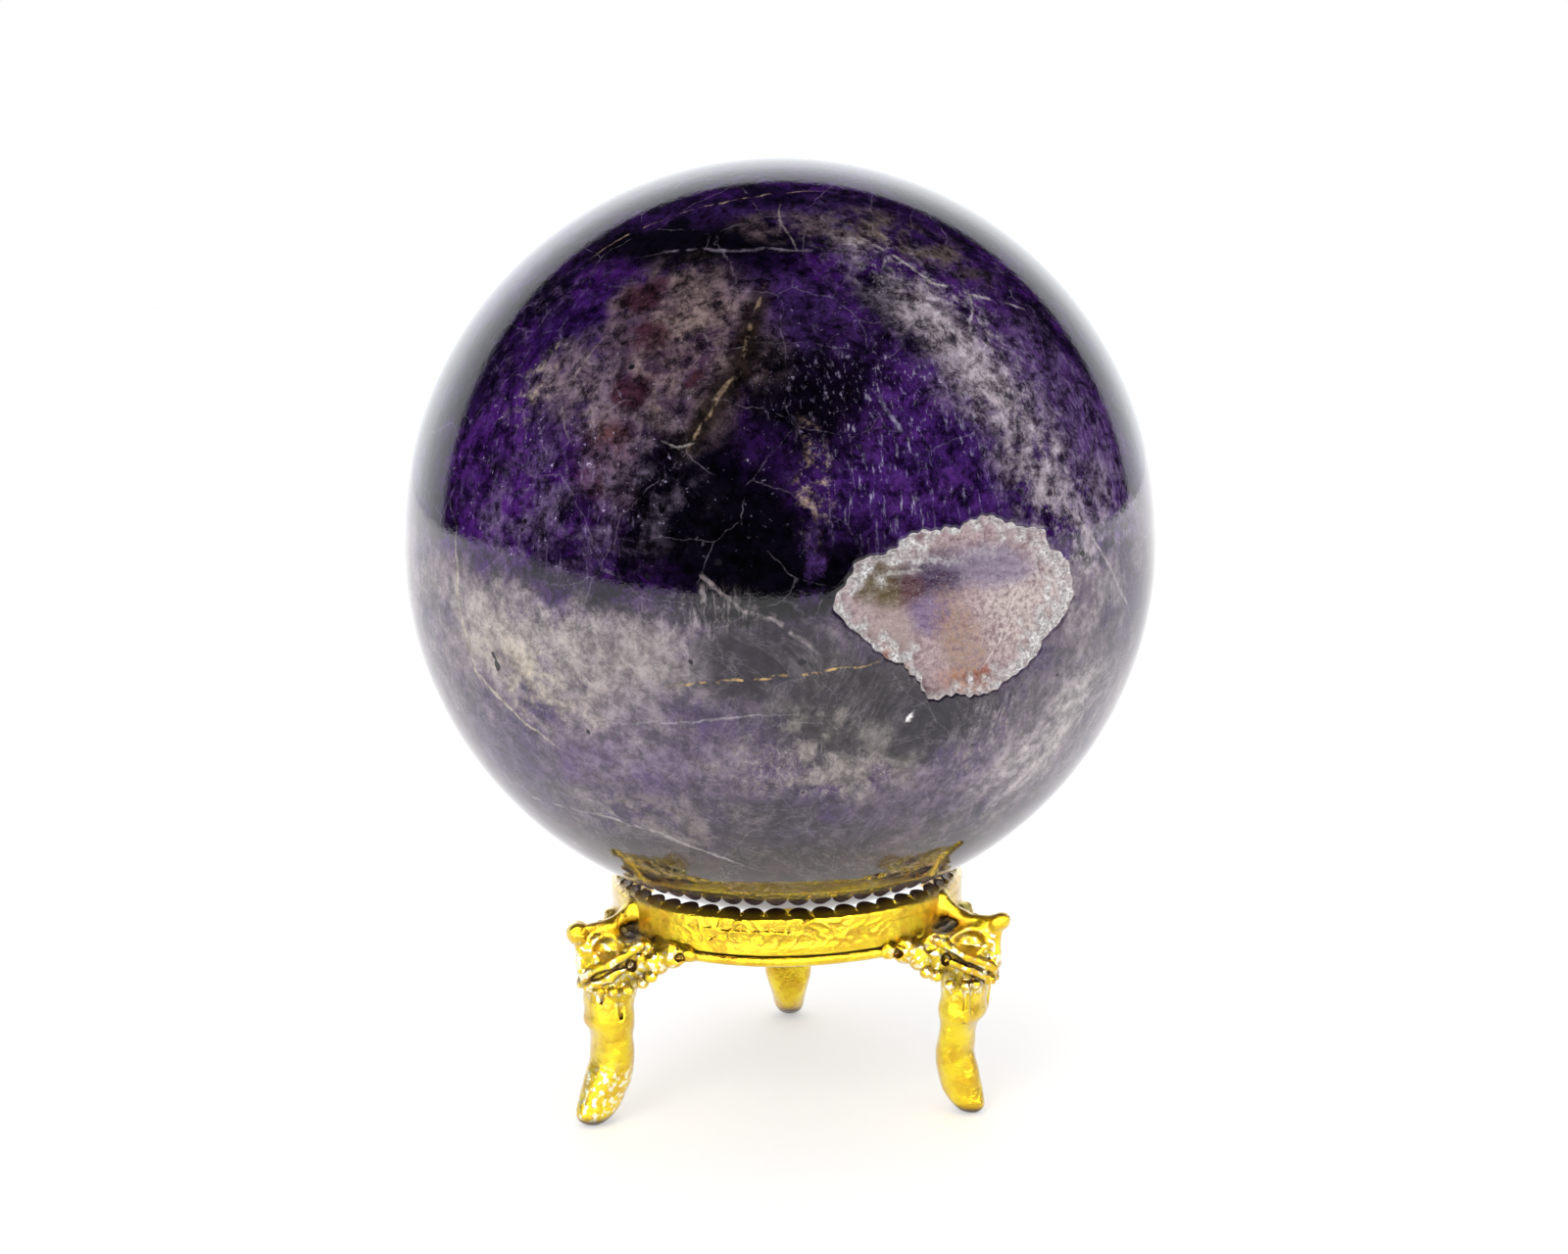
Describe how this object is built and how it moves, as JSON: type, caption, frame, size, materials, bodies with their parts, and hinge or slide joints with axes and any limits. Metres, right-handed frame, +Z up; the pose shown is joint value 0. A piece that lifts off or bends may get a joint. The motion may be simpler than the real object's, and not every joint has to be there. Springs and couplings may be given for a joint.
{
  "type": "crystal ball on stand",
  "caption": "Polished banded amethyst ball with an open druzy pocket, resting on the toothed ring of a small gilded stand with curved legs and leaf knees.",
  "frame": {"origin": "on the surface under the feet, on the vertical line through the ball's centre", "axes": "+Z up, -Y towards the front, where the druzy pocket faces; one leg is at the back on +Y and two are at the front"},
  "size_m": [0.07, 0.07, 0.0882],
  "materials": {
    "amethyst": "polished",
    "druzy_quartz": "satin",
    "gilding": "gloss"
  },
  "bodies": {
    "stand": {"toothed_seat": "gilding", "collar_ring": "gilding", "lower_bead": "gilding", "leg_front_left": "gilding", "leg_front_right": "gilding", "leg_rear": "gilding", "knee_leaf_front_left": "gilding", "knee_leaf_front_right": "gilding", "knee_leaf_rear": "gilding"},
    "ball": {"crystal_ball": "amethyst", "druzy_lining": "druzy_quartz"}
  },
  "joints": [
    {"name": "ball_lift", "type": "slide", "parent": "stand", "child": "ball", "axis": [0, 0, 1], "range_m": [0, 0.06]}
  ]
}
